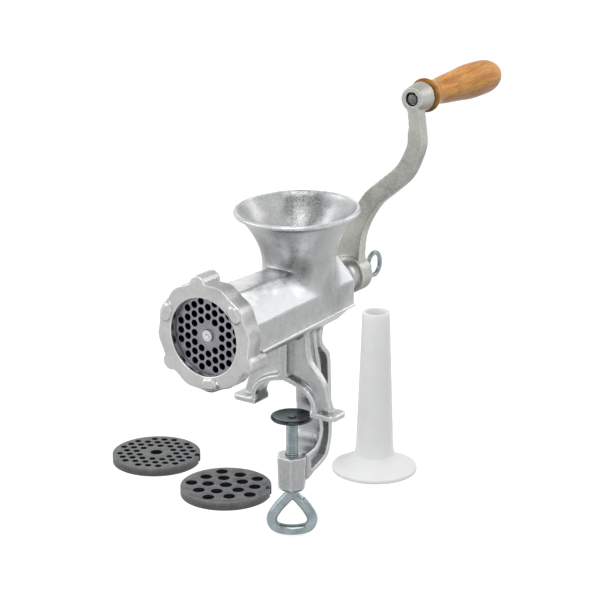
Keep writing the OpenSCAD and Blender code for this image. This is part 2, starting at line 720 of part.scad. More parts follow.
// radius of the handle, from the crank's side to its far end
handle_profile = smooth([
  [handle_collar_r - 1, 0], [handle_collar_r, 2], [handle_collar_r - 0.8, 5], [handle_neck_r + 0.8, 11],
  [handle_neck_r, 17], [handle_neck_r + 1.2, 27], [handle_bulge_r - 1.6, handle_len * 0.45],
  [handle_bulge_r - 0.2, handle_len * 0.6], [handle_bulge_r, handle_len * 0.72],
  [handle_bulge_r - 0.7, handle_len * 0.88], [handle_bulge_r - 3.6, handle_len - 3],
  [handle_bulge_r - 7, handle_len]
], 4);

module wood_handle() color("peru") at_handle(handle_front_y) difference() {
  rotate_extrude() polygon(concat([[0, 0]], handle_profile, [[0, handle_len]]));
  translate([0, 0, -over]) cylinder(r = handle_pin_r + turn_gap, h = handle_len + 2 * over);
  translate([0, 0, handle_len - head_sunk]) cylinder(r = pin_head_r + end_gap, h = head_sunk + over);
}

// Clamp

// a round rod along the course p, in X and Z, with 16 sides
module bent_rod(p, r) {
  sides = 16;
  last = len(p) - 1;
  points = [
    for (i = [0:last]) let (n = across(p, i))
      for (k = [0:sides - 1]) let (a = k * 360 / sides)
        [p[i][0] + n[0] * r * cos(a), r * sin(a), p[i][1] + n[1] * r * cos(a)]];
  skin = [
    for (i = [0:last - 1], k = [0:sides - 1]) let (m = (k + 1) % sides)
      [i * sides + k, i * sides + m, (i + 1) * sides + m, (i + 1) * sides + k]];
  ends = [[for (k = [sides - 1:-1:0]) k], [for (k = [0:sides - 1]) last * sides + k]];
  polyhedron(points, concat(skin, ends));
}

// the loop's rod, from inside the screw to its free end
loop_course = smooth([
  [0, 3], [0, 0], [-loop_w * 0.12, -loop_h * 0.14], [-loop_w * 0.36, -loop_h * 0.42],
  [-loop_w * 0.5, -loop_h * 0.7], [-loop_w * 0.38, -loop_h * 0.93], [0, -loop_h], [loop_w * 0.38, -loop_h * 0.93],
  [loop_w * 0.5, -loop_h * 0.7], [loop_w * 0.38, -loop_h * 0.44], [loop_w * 0.21, -loop_h * 0.22]
], 5);

module clamp_screw() color("lightslategray") {
  translate([0, 0, loop_top - over]) cylinder(r = clamp_screw_r, h = disc_low - end_gap - loop_top + over);
  translate([0, 0, disc_low - end_gap - over]) cylinder(r = screw_tip_r, h = screw_tip_top - disc_low + end_gap + over);
  translate([0, 0, loop_top]) rotate(loop_turn) {
    bent_rod(loop_course, loop_rod_r);
    rod([loop_w * 0.24, 0, -loop_h * 0.26], [loop_w * 0.03, 0, -loop_h * 0.05], loop_rod_r - 0.5);
  }
}

module clamp_disc() color("slategray") translate([0, 0, disc_low]) difference() {
  cylinder(r = disc_r, h = disc_t);
  translate([0, 0, -over]) cylinder(r = screw_tip_r + turn_gap, h = disc_t + 2 * over);
}

// Stuffing tube

module stuffing_tube() color("whitesmoke") translate([tube_x, -tube_y, 0]) rotate_extrude() polygon([
  [tube_flange_r, 0], [tube_flange_r, 2.5], [tube_flange_r - 6, 5], [tube_foot_r + 4, 8.5],
  [tube_foot_r + 1, 12], [tube_foot_r, 17], [tube_tip_r, tube_h], [tube_tip_r - tube_wall, tube_h],
  [tube_foot_r - tube_wall, 16], [tube_foot_r + 2, 7], [tube_flange_r - 7, 2.8], [tube_flange_r - 4, 0]
]);

grinder_body();
plate_key();
ring_nut();
plate_medium();
cutter_knife();
auger_screw();
auger_stud();
thrust_washer();
crank_arm();
crank_screw();
handle_pin();
handle_washer();
wood_handle();
clamp_screw();
clamp_disc();
plate_fine();
plate_coarse();
stuffing_tube();
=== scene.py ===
"""The looks of the hand crank meat grinder: castings, steel, zinc, beech and milky plastic."""

import json
import math

import bmesh
import bpy
import numpy as np
from mathutils import Matrix, Vector, noise


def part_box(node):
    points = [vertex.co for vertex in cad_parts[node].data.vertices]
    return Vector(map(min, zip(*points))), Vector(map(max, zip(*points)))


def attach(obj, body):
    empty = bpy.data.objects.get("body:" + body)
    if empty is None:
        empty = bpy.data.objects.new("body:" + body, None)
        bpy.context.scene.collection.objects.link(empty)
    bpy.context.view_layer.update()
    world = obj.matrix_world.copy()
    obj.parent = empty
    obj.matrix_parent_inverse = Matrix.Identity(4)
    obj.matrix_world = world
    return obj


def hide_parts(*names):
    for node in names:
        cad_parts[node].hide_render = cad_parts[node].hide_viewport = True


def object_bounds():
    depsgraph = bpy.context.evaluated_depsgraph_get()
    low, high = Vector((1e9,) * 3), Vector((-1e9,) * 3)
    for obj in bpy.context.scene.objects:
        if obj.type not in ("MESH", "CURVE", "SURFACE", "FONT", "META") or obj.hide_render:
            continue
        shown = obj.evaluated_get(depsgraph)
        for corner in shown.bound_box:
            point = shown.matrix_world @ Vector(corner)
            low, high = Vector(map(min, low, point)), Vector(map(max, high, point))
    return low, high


MM = 0.001

# the body: the hopper's axis and throat, the bore, the front collar and the beads on its lower edges
HOPPER_Y = 10.5 * MM
THROAT_R = 27.5 * MM
BORE_R = 21.5 * MM
COLLAR_BACK_Y = -92 * MM
BEAD_FRONT = (28.0 * MM, -90.0 * MM, 70.4 * MM)
BEAD_BACK = (26.0 * MM, 45.9 * MM, 73.7 * MM)
BEAD_R = 1.35 * MM

# the ring: its face, the circle that its pads lie on, and the pips beside two of them
RING_FRONT_Y = -110 * MM
PAD_AT_R = 34.7 * MM
PIP_ANGLES = (145, 291)
PIP_R = 1.9 * MM

# the crank's upper boss: the recess round its pin
RECESS_R = 6 * MM
RECESS_BACK_Y = 84 * MM

# the hole plates: every hole lies inside this radius
HOLES_R = 29.5 * MM

# the clamp screw: its shank with the thread, and the tip that the disc sits on
SHANK_LOW_Z = -71 * MM
SHANK_HIGH_Z = -10.9 * MM
SHANK_R = 4.7 * MM
THREAD_DEPTH = 0.38 * MM
THREAD_PITCH = 1.6 * MM
TIP_Z = -15 * MM

# the CAD shank above the loop: what lies further out than CORE_R is drawn in, under the thread
LOOP_HIGH_Z = -60 * MM
CORE_R = 4 * MM
CORE_SHRINK = 0.72

# the stage: the floor lies just under the object, and stands carry the loose pieces
FLOOR_GAP = 0.2 * MM
FLOOR_R = 6.0
FLOOR_THICK = 0.01
STAND_R = 24 * MM

# how bright the white room is, and its ceiling against its walls
ROOM_LIGHT = 0.8
CEILING = 0.8

# the photograph's camera
CAMERA_AT = (0.80702, -1.16512, 0.52873)
CAMERA_TURN = 34.46
CAMERA_TILT = 17.4055
CAMERA_LENS = 119.02
CAMERA_SENSOR = 36

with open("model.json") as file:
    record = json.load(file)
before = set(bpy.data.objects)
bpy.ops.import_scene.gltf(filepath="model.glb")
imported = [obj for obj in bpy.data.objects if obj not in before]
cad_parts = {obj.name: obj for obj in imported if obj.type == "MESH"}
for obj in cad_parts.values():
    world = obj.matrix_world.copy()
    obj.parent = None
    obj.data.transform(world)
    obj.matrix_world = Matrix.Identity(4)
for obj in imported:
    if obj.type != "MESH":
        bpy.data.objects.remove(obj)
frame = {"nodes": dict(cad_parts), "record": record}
nodes = frame["nodes"]
cad_bounds = [list(map(float, corner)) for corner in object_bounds()]
SLOT = {row["node"]: row["material_slot"] for row in frame["record"]["subparts"]}
BODY = {node: body for body, members in frame["record"]["behaviour"]["bodies"].items() for node in members}


def middle_of(node):
    """The middle of a CAD node's box."""
    low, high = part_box(node)
    return (low + high) / 2


# places that the frame gives
AXIS_Z = middle_of("auger_stud").z
BORE_BACK_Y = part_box("thrust_washer")[1].y
HANDLE_FRONT_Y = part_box("wood_handle")[0].y
HANDLE_BACK_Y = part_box("wood_handle")[1].y
HANDLE_X = middle_of("wood_handle").x
HANDLE_Z = middle_of("wood_handle").z
FLOOR_Z = cad_bounds[0][2] - FLOOR_GAP


# Materials


class Shader:
    """One procedural material: its nodes, with short calls that add and link them."""

    def __init__(self, name):
        self.material = bpy.data.materials.new(name)
        self.material.use_nodes = True
        self.tree = self.material.node_tree
        self.surface = self.tree.nodes["Principled BSDF"]
        self.place = self.add("ShaderNodeTexCoord").outputs["Object"]

    def add(self, kind, **settings):
        node = self.tree.nodes.new(kind)
        for key, value in settings.items():
            setattr(node, key, value)
        return node

    def link(self, source, target):
        self.tree.links.new(source, target)

    def set(self, **values):
        for key, value in values.items():
            self.surface.inputs[key.replace("_", " ")].default_value = value

    def mapped(self, scale):
        """The object's place, stretched along an axis where the scale is below 1."""
        node = self.add("ShaderNodeMapping")
        self.link(self.place, node.inputs["Vector"])
        node.inputs["Scale"].default_value = scale
        return node.outputs["Vector"]

    def noise(self, size, detail=2.0, rough=0.5, vector=None, distortion=0.0):
        """Noise whose features are about `size` metres across."""
        node = self.add("ShaderNodeTexNoise")
        self.link(vector or self.place, node.inputs["Vector"])
        node.inputs["Scale"].default_value = 1 / size
        node.inputs["Detail"].default_value = detail
        node.inputs["Roughness"].default_value = rough
        node.inputs["Distortion"].default_value = distortion
        return node.outputs["Fac"]

    def ramp(self, value, *stops):
        """A colour by the value, from stops of (value, colour)."""
        node = self.add("ShaderNodeValToRGB")
        self.link(value, node.inputs["Fac"])
        band = node.color_ramp.elements
        while len(band) < len(stops):
            band.new(0.5)
        for element, (at, colour) in zip(band, stops):
            element.position = at
            element.color = (*colour, 1)
        return node.outputs["Color"]

    def spread(self, value, low, high, from_low=0.3, from_high=0.7):
        """The value's range from_low to from_high, stretched to low to high."""
        node = self.add("ShaderNodeMapRange")
        self.link(value, node.inputs["Value"])
        limits = {"From Min": from_low, "From Max": from_high, "To Min": low, "To Max": high}
        for key, number in limits.items():
            node.inputs[key].default_value = number
        return node.outputs["Result"]

    def mix(self, factor, a, b, blend="MIX"):
        """Two colours blended, each a socket or a colour."""
        node = self.add("ShaderNodeMix", data_type="RGBA", blend_type=blend)
        for socket, value in ((node.inputs[0], factor), (node.inputs[6], a), (node.inputs[7], b)):
            if hasattr(value, "links"):
                self.link(value, socket)
            elif isinstance(value, tuple):
                socket.default_value = (*value, 1)
            else:
                socket.default_value = value
        return node.outputs[2]

    def maths(self, operation, a, b):
        """The operation on two values, each a socket or a number."""
        node = self.add("ShaderNodeMath", operation=operation)
        for socket, value in zip(node.inputs, (a, b)):
            if hasattr(value, "links"):
                self.link(value, socket)
            else:
                socket.default_value = value
        return node.outputs[0]

    def distance(self, centre, keep=(1, 1, 1)):
        """Distance from a place, or from a line where `keep` drops an axis."""
        flat = self.add("ShaderNodeVectorMath", operation="MULTIPLY")
        self.link(self.place, flat.inputs[0])
        flat.inputs[1].default_value = keep
        far = self.add("ShaderNodeVectorMath", operation="DISTANCE")
        self.link(flat.outputs["Vector"], far.inputs[0])
        far.inputs[1].default_value = centre
        return far.outputs["Value"]

    def patch(self, centre, radius, soft):
        """1 inside a cloud around `centre` (in millimetres), with a ragged soft edge."""
        rag = self.maths("MULTIPLY", self.maths("SUBTRACT", self.noise(6 * MM, 3), 0.5), 0.9 * radius * MM)
        away = self.maths("ADD", self.distance(tuple(c * MM for c in centre)), rag)
        return self.spread(away, 1.0, 0.0, (radius - soft) * MM, (radius + soft) * MM)

    def painted_light_by_facing(self, low, middle, high):
        """Painted light and shade: a grey level by the way the surface faces, with low, middle and high for
        faces that look down, sideways or up.
        """
        split = self.add("ShaderNodeSeparateXYZ")
        self.link(self.add("ShaderNodeTexCoord").outputs["Normal"], split.inputs[0])
        lift = self.maths("ADD", split.outputs["Z"], self.maths("MULTIPLY", self.noise(9 * MM, 2), 0.3))
        return self.ramp(self.spread(lift, 0.0, 1.0, -0.85, 1.15), (0.2, (low,) * 3), (0.5, (middle,) * 3),
                         (0.68, (1, 1, 1)), (0.86, (1, 1, 1)), (0.97, (high,) * 3))

    def painted_corner_shade_and_edge_wear(self, bright):
        """Darker in the corners as painted shade, and `bright` times brighter along the edges, partly as wear
        and partly as a painted highlight.
        """
        bend = self.add("ShaderNodeNewGeometry").outputs["Pointiness"]
        return self.ramp(bend, (0.465, (0.4,) * 3), (0.494, (1, 1, 1)),
                         (0.508, (1, 1, 1)), (0.535, (bright,) * 3))

    def tinted(self, base, mask, factor):
        """The base colour times `factor` where the mask is 1."""
        return self.mix(mask, base, self.mix(1.0, base, (factor,) * 3, "MULTIPLY"))

    def colour(self, socket):
        """Takes the surface's colour from the socket."""
        self.link(socket, self.surface.inputs["Base Color"])

    def roughness(self, socket):
        self.link(socket, self.surface.inputs["Roughness"])

    def bump(self, height, depth, strength=1.0):
        """Adds a relief `depth` metres deep, on top of the ones before it."""
        node = self.add("ShaderNodeBump")
        self.link(height, node.inputs["Height"])
        node.inputs["Distance"].default_value = depth
        node.inputs["Strength"].default_value = strength
        normal = self.surface.inputs["Normal"]
        if normal.is_linked:
            self.link(normal.links[0].from_socket, node.inputs["Normal"])
        self.link(node.outputs["Normal"], normal)


def casting_finish(name, dark, light, rough, speckle, faces, light_and_shade_patches=(), bore=False, edge_wear_and_glint=1.35):
    """Tinned cast iron: bright metal with clouds, fine grain and a slightly lumpy skin.

    Each patch is a darker or brighter cloud of painted shade, painted reflection and painted highlight: its
    centre and radius in millimetres, its soft edge, its factor on the colour and the factor of its flecks.
    The face levels paint light and shade by the way the surface faces, the edge factor brightens the edges as
    wear and painted highlight, and `bore` darkens the inside of the barrel as painted shade."""
    s = Shader(name)
    clouds = s.noise(16 * MM, 3, 0.55)
    mottle = s.noise(1.6 * MM, 4, 0.7)
    grain = s.noise(0.55 * MM, 3, 0.6)
    base = s.ramp(mottle, (0.3, dark), (0.66, light))
    pale = tuple(min(c * 1.12, 1) for c in light)
    base = s.mix(s.spread(clouds, 0.0, 0.6, 0.35, 0.65), base, pale)
    shade = s.spread(grain, 1 - 0.3 * speckle, 1.0, 0.34, 0.5)
    base = s.mix(1.0, base, s.ramp(shade, (0, (0, 0, 0)), (1, (1, 1, 1))), "MULTIPLY")
    base = s.mix(1.0, base, s.painted_light_by_facing(*faces), "MULTIPLY")
    base = s.mix(1.0, base, s.painted_corner_shade_and_edge_wear(edge_wear_and_glint), "MULTIPLY")
    fleck = s.spread(s.noise(1.0 * MM, 3, 0.7), 1.0, 0.0, 0.42, 0.5)
    for centre, radius, soft, factor, flecked in light_and_shade_patches:
        mask = s.patch(centre, radius, soft)
        base = s.tinted(base, mask, factor)
        if flecked:
            base = s.tinted(base, s.maths("MULTIPLY", mask, fleck), flecked)
    # painted shade: the inside of the barrel's bore is darkened far below the metal's own colour
    if bore:
        inside = s.spread(s.distance((0, 0, AXIS_Z), (1, 0, 1)), 1.0, 0.0, BORE_R, BORE_R + 0.8 * MM)
        split = s.add("ShaderNodeSeparateXYZ")
        s.link(s.place, split.inputs[0])
        front = s.spread(split.outputs["Y"], 1.0, 0.0, BORE_BACK_Y, BORE_BACK_Y + 1 * MM)
        base = s.tinted(base, s.maths("MULTIPLY", inside, front), 0.12)
    s.colour(base)
    uneven = s.maths("ADD", mottle, s.maths("MULTIPLY", clouds, 0.5))
    s.roughness(s.spread(uneven, rough - 0.08, rough + 0.12, 0.5, 1.0))
    s.bump(clouds, 0.5 * MM, 0.25)
    s.bump(mottle, 0.25 * MM, 0.35)
    s.bump(grain, 0.08 * MM, 0.35)
    s.set(Metallic=1.0)
    return s.material


def steel_finish(name, dark, light, rough, metallic=1.0, grain_size=0.8, relief=0.05, faces=None):
    """Ground or plated steel with faint clouds and fine marks; sizes are in millimetres. Where face levels
    are given, light and shade are painted in by the way the surface faces.
    """
    s = Shader(name)
    clouds = s.noise(7 * MM, 3, 0.55)
    marks = s.noise(grain_size * MM, 3, 0.6)
    base = s.ramp(s.maths("ADD", s.maths("MULTIPLY", clouds, 0.6), s.maths("MULTIPLY", marks, 0.4)),
                  (0.36, dark), (0.62, light))
    s.colour(s.mix(1.0, base, s.painted_light_by_facing(*faces), "MULTIPLY") if faces else base)
    s.roughness(s.spread(clouds, rough - 0.06, rough + 0.1))
    s.bump(marks, relief * MM, 0.4)
    s.set(Metallic=metallic)
    return s.material


def beech_finish():
    """Varnished beech: long grain along the handle, fine dark flecks and broad warm bands."""
    s = Shader("beech")
    along = s.mapped((1.0, 0.13, 1.0))
    bands = s.noise(6 * MM, 2, 0.5, along, 0.8)
    streaks = s.noise(1.5 * MM, 4, 0.65, along)
    flecks = s.noise(0.8 * MM, 2, 0.5, s.mapped((1.0, 0.25, 1.0)))
    base = s.ramp(bands, (0.32, (0.62, 0.235, 0.035)), (0.5, (0.82, 0.36, 0.065)), (0.7, (0.92, 0.47, 0.115)))
    base = s.mix(s.spread(streaks, 0.0, 0.6, 0.45, 0.72), base, (0.33, 0.12, 0.03))
    base = s.mix(s.spread(flecks, 0.0, 0.7, 0.62, 0.72), base, (0.22, 0.075, 0.02))
    split = s.add("ShaderNodeSeparateXYZ")
    s.link(s.place, split.inputs[0])
    along_y = split.outputs["Y"]
    base = s.tinted(base, s.spread(along_y, 1.0, 0.0, HANDLE_FRONT_Y + 1 * MM, HANDLE_FRONT_Y + 5 * MM), 0.6)
    base = s.tinted(base, s.spread(along_y, 0.0, 1.0, HANDLE_BACK_Y - 7 * MM, HANDLE_BACK_Y), 0.62)
    # painted shade on the faces that look down and sideways
    s.colour(s.mix(1.0, base, s.painted_light_by_facing(0.5, 0.85, 1.0), "MULTIPLY"))
    s.roughness(s.spread(streaks, 0.36, 0.5))
    s.bump(streaks, 0.06 * MM, 0.3)
    s.set(Coat_Weight=0.1, Coat_Roughness=0.18, Specular_IOR_Level=0.25)
    return s.material


def milky_finish():
    """Milky polyethylene: soft, faintly cloudy and a little see-through."""
    s = Shader("milky_plastic")
    clouds = s.noise(14 * MM, 2, 0.5)
    s.colour(s.ramp(clouds, (0.35, (0.92, 0.93, 0.93)), (0.65, (0.96, 0.97, 0.965))))
    s.roughness(s.spread(clouds, 0.34, 0.46))
    s.bump(s.noise(2.5 * MM, 2, 0.5), 0.05 * MM, 0.2)
    s.set(Subsurface_Weight=0.25, Subsurface_Radius=(6 * MM, 6 * MM, 6 * MM), Subsurface_Scale=1.0)
    return s.material


def fibre_finish():
    """The red-brown fibre of the washers."""
    s = Shader("washer_fibre")
    s.colour(s.ramp(s.noise(0.6 * MM, 3), (0.35, (0.24, 0.07, 0.025)), (0.65, (0.40, 0.13, 0.05))))
    s.bump(s.noise(0.4 * MM, 2), 0.04 * MM, 0.5)
    s.set(Roughness=0.7)
    return s.material


# duller and brighter places of the body's skin: painted shade, and painted reflections and highlights
BODY_LIGHT_AND_SHADE = (
    ((-36, 19, 147), 14, 5, 1.2, 0),
    ((-14, 38, 145), 17, 3, 0.7, 0.5),
    ((18, 41, 149), 14, 6, 1.12, 0),
    ((-43, -6, 152), 10, 4, 0.75, 0.8),
    ((-15, -22, 128), 12, 6, 0.6, 0),
    ((17, -24, 138), 15, 6, 1.55, 0),
    ((14, -15, 113), 10, 4, 0.6, 0.8),
    ((0, -76, 117), 18, 6, 1.5, 0),
    ((0, -44, 117), 17, 6, 1.7, 0.85),
    ((19, -21, 104), 8, 3, 1.25, 0),
    ((27, 20, 92), 16, 6, 0.85, 0),
    ((0, -109, 50), 14, 6, 0.6, 0),
)

# brighter places of the crank's lower half: painted reflections
CRANK_PAINTED_LIGHT = (
    ((20, 84, 132), 24, 12, 1.25, 0),
    ((33, 84, 162), 22, 12, 1.3, 0),
)

# dull places on the ring's outer side: painted shade that tones down its highlights
RING_PAINTED_SHADE = (
    ((12, -100, 125), 10, 5, 0.78, 0),
    ((29, -96, 114), 9, 4, 0.7, 0.8),
    ((38, -100, 99), 9, 4, 0.78, 0),
    ((41, -95, 80), 9, 4, 0.68, 0.8),
)

# the face levels of the castings and the loose plates paint light and shade into the colour: darker where a
# face looks down or sideways, brighter where it looks up
MATERIALS = {
    "tinned_iron": casting_finish("tinned_iron", (0.385, 0.395, 0.40), (0.53, 0.54, 0.545), rough=0.30,
                                  speckle=0.6, faces=(0.64, 0.72, 1.25), light_and_shade_patches=BODY_LIGHT_AND_SHADE, bore=True),
    "cast_crank": casting_finish("cast_crank", (0.38, 0.38, 0.35), (0.51, 0.51, 0.475), rough=0.36,
                                 speckle=0.7, faces=(0.36, 0.9, 1.05), light_and_shade_patches=CRANK_PAINTED_LIGHT, edge_wear_and_glint=1.15),
    "plate_steel": steel_finish("plate_steel", (0.19, 0.186, 0.215), (0.30, 0.295, 0.335), rough=0.40),
    "loose_plate_steel": steel_finish("loose_plate_steel", (0.15, 0.155, 0.16), (0.26, 0.265, 0.27),
                                      rough=0.5, metallic=0.6, faces=(0.4, 0.42, 1.0)),
    "tool_steel": steel_finish("tool_steel", (0.42, 0.42, 0.41), (0.66, 0.66, 0.64), rough=0.28),
    "zinc_steel": steel_finish("zinc_steel", (0.20, 0.245, 0.255), (0.33, 0.385, 0.40), rough=0.17,
                               relief=0.02),
    "disc_steel": steel_finish("disc_steel", (0.02, 0.031, 0.034), (0.065, 0.09, 0.095), rough=0.26,
                               grain_size=1.4),
    "washer_fibre": fibre_finish(),
    "beech": beech_finish(),
    "milky_plastic": milky_finish(),
}

# pieces that look different from the rest of their material; the hole walls and the knife are painted near
# black as painted shade
RING_FINISH = casting_finish("tinned_ring", (0.43, 0.435, 0.43), (0.55, 0.555, 0.545), rough=0.28,
                             speckle=0.6, faces=(0.66, 0.85, 1.1), light_and_shade_patches=RING_PAINTED_SHADE)
HOLE_WALL_SHADE = steel_finish("hole_walls_painted_shade", (0.012, 0.012, 0.014), (0.03, 0.03, 0.034), rough=0.6)
PIN_FINISH = steel_finish("pin_end", (0.10, 0.105, 0.105), (0.2, 0.205, 0.205), rough=0.3)
KNIFE_SHADE = steel_finish("knife_painted_in_shade", (0.02, 0.02, 0.022), (0.05, 0.05, 0.055), rough=0.5)


# Meshes


def welded(node):
    """A copy of a CAD node's mesh with its split vertices joined, as a new mesh."""
    bm = bmesh.new()
    bm.from_mesh(nodes[node].data)
    bmesh.ops.remove_doubles(bm, verts=bm.verts, dist=2e-6)
    bmesh.ops.recalc_face_normals(bm, faces=bm.faces)
    mesh = bpy.data.meshes.new(node + "_skin")
    bm.to_mesh(mesh)
    bm.free()
    return mesh


def applied(obj):
    """The object's mesh with its modifiers applied."""
    bpy.context.view_layer.update()
    mesh = bpy.data.meshes.new_from_object(obj.evaluated_get(bpy.context.evaluated_depsgraph_get()))
    obj.modifiers.clear()
    obj.data = mesh
    return obj


def make(name, mesh, node, material=None):
    """A piece that stands for a CAD node: it takes the node's body, slot and material."""
    obj = bpy.data.objects.new(name, mesh)
    bpy.context.scene.collection.objects.link(obj)
    mesh.materials.clear()
    mesh.materials.append(material or MATERIALS[SLOT[node]])
    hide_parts(node)
    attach(obj, BODY[node])
    return obj


def shade(obj, angle):
    """Smooth shading, with edges sharper than the angle kept sharp."""
    mesh = obj.data
    for polygon in mesh.polygons:
        polygon.use_smooth = True
    mesh.set_sharp_from_angle(angle=math.radians(angle))


def remeshed(mesh, voxel):
    """The mesh made again from even squares of the voxel's size."""
    obj = bpy.data.objects.new("remesh", mesh)
    bpy.context.scene.collection.objects.link(obj)
    modifier = obj.modifiers.new("voxels", "REMESH")
    modifier.mode = "VOXEL"
    modifier.voxel_size = voxel
    applied(obj)
    result = obj.data
    bpy.data.objects.remove(obj)
    return result


class Skin:
    """Vertex places of a dense mesh, for smoothing in numpy."""

    NORMALS_EVERY = 6          # rounds of filling before the normals are taken again

    def __init__(self, mesh):
        self.mesh = mesh
        count = len(mesh.vertices)
        self.co = np.zeros(count * 3)
        mesh.vertices.foreach_get("co", self.co)
        self.co = self.co.reshape(-1, 3)
        pairs = np.zeros(len(mesh.edges) * 2, int)
        mesh.edges.foreach_get("vertices", pairs)
        pairs = pairs.reshape(-1, 2)
        self.a = np.concatenate([pairs[:, 0], pairs[:, 1]])
        self.b = np.concatenate([pairs[:, 1], pairs[:, 0]])
        self.degree = np.maximum(np.bincount(self.a, minlength=count), 1)

    def drift(self):
        """Where each vertex would go to lie at its neighbours' middle."""
        count = len(self.co)
        middle = np.stack([np.bincount(self.a, self.co[self.b, k], count) for k in range(3)], 1)
        return middle / self.degree[:, None] - self.co

    def normals(self):
        """The outward direction at each vertex, as it lies now."""
        self.write()
        out = np.zeros(len(self.co) * 3)
        self.mesh.vertices.foreach_get("normal", out)
        return out.reshape(-1, 3)

    def smooth(self, rounds, weight=None):
        """Rounds edges and corners, only where the weight is above 0."""
        w = 0.5 if weight is None else 0.5 * weight[:, None]
        for _ in range(rounds):
            self.co += w * self.drift()

    def even(self, rounds):
        """Takes the voxel steps out without shrinking the shape."""
        for _ in range(rounds):
            self.co += 0.5 * self.drift()
            self.co -= 0.52 * self.drift()

    def fill(self, rounds, weight):
        """Rounds hollow corners only: a vertex moves outward, never inward."""
        for i in range(rounds):
            if i % self.NORMALS_EVERY == 0:
                normal = self.normals()
            step = self.drift()
            out = np.maximum((step * normal).sum(1), 0)
            self.co += (0.9 * weight * out)[:, None] * normal

    def roughen(self, size, depth, seed):
        """A slightly lumpy skin, with lumps about `size` metres across."""
        normal = self.normals()
        shift = Vector((seed * 1.7, seed * 2.3, seed * 3.1))
        lumps = np.array([noise.noise(Vector(p) / size + shift) for p in self.co])
        self.co += (depth * lumps)[:, None] * normal

    def write(self):
        self.mesh.vertices.foreach_set("co", self.co.ravel())
        self.mesh.update()


def near(value, low, high, soft):
    """1 between low and high, falling to 0 over `soft` beyond them."""
    rise = np.clip((value - low) / soft + 1, 0, 1)
    fall = np.clip((high - value) / soft + 1, 0, 1)
    return rise * fall


def add_rod(bm, start, end, radius, sides):
    """A round rod with closed ends between two points."""
    start, end = Vector(start), Vector(end)
    way = end - start
    turn = way.to_track_quat("Z", "Y").to_matrix().to_4x4()
    turn.translation = (start + end) / 2
    bmesh.ops.create_cone(bm, cap_ends=True, segments=sides, radius1=radius, radius2=radius, depth=way.length,
                          matrix=turn)


def add_ball(bm, centre, radius):
    bmesh.ops.create_icosphere(bm, subdivisions=3, radius=radius, matrix=Matrix.Translation(centre))


def with_extra(mesh, build):
    """The mesh with more closed solids, which `build` adds to it."""
    bm = bmesh.new()
    bm.from_mesh(mesh)
    build(bm)
    bm.to_mesh(mesh)
    bm.free()
    return mesh


def lower_beads(bm):
    """The bright bead along each lower edge of the barrel."""
    for side in (-1, 1):
        start, end = [(side * x, y, z) for x, y, z in (BEAD_FRONT, BEAD_BACK)]
        add_rod(bm, start, end, BEAD_R, 20)


def body_casting():
    """The body as one soft-edged casting, with a wide fillet where the hopper meets the barrel."""
    skin = Skin(remeshed(welded("grinder_body"), 0.95 * MM))
    skin.even(3)
    from_axis = np.hypot(skin.co[:, 0], skin.co[:, 1] - HOPPER_Y)
    height = skin.co[:, 2] - AXIS_Z
    at_throat = near(from_axis, THROAT_R - 1 * MM, THROAT_R + 9 * MM, 5 * MM)
    at_throat *= near(height, 12 * MM, 34 * MM, 4 * MM)
    at_collar = near(skin.co[:, 1], -math.inf, COLLAR_BACK_Y, 3 * MM)
    skin.fill(110, at_throat)
    skin.fill(18, (1 - at_throat) * (1 - at_collar))
    skin.smooth(1)
    skin.roughen(5 * MM, 0.1 * MM, 1)
    skin.write()
    casting = make("casting", with_extra(skin.mesh, lower_beads), "grinder_body")
    shade(casting, 75)


def soft_part(name, node, voxel, rounds, fill_rounds, lump, seed, extra=None, material=None, kept=None):
    """A smaller casting, remeshed with its edges rounded.

    `extra` adds solids to it, and `kept` is 1 at the places that stay crisp."""
    mesh = welded(node)
    skin = Skin(remeshed(with_extra(mesh, extra) if extra else mesh, voxel))
    skin.even(2)
    free = 1 - kept(skin.co) if kept else np.ones(len(skin.co))
    skin.fill(fill_rounds, free)
    skin.smooth(rounds, free)
    skin.roughen(4 * MM, lump, seed)
    skin.write()
    piece = make(name, skin.mesh, node, material)
    shade(piece, 75)


def ring_pips(bm):
    """The small round pips beside two of the ring's pads."""
    for angle in PIP_ANGLES:
        a = math.radians(angle)
        x = PAD_AT_R * math.cos(a)
        z = AXIS_Z + PAD_AT_R * math.sin(a)
        add_ball(bm, (x, RING_FRONT_Y + 0.6 * MM, z), PIP_R)


def pin_recess(co):
    """1 around the recess in the crank's upper boss."""
    away = np.hypot(co[:, 0] - HANDLE_X, co[:, 2] - HANDLE_Z)
    return near(away, 0, RECESS_R, 1.5 * MM) * near(co[:, 1], -math.inf, RECESS_BACK_Y, 1 * MM)


def lathe(name, profile, sides):
    """A closed ring turned about the vertical axis from its profile of (radius, height)."""
    bm = bmesh.new()
    rings = []
    for k in range(sides):
        a = 2 * math.pi * k / sides
        x, y = math.cos(a), math.sin(a)
        rings.append([bm.verts.new((r * x, r * y, z)) for r, z in profile])
    for k in range(sides):
        one, two = rings[k], rings[(k + 1) % sides]
        for i in range(len(profile)):
            m = (i + 1) % len(profile)
            bm.faces.new((one[i], two[i], two[m], one[m]))
    bmesh.ops.recalc_face_normals(bm, faces=bm.faces)
    mesh = bpy.data.meshes.new(name)
    bm.to_mesh(mesh)
    bm.free()
    return mesh


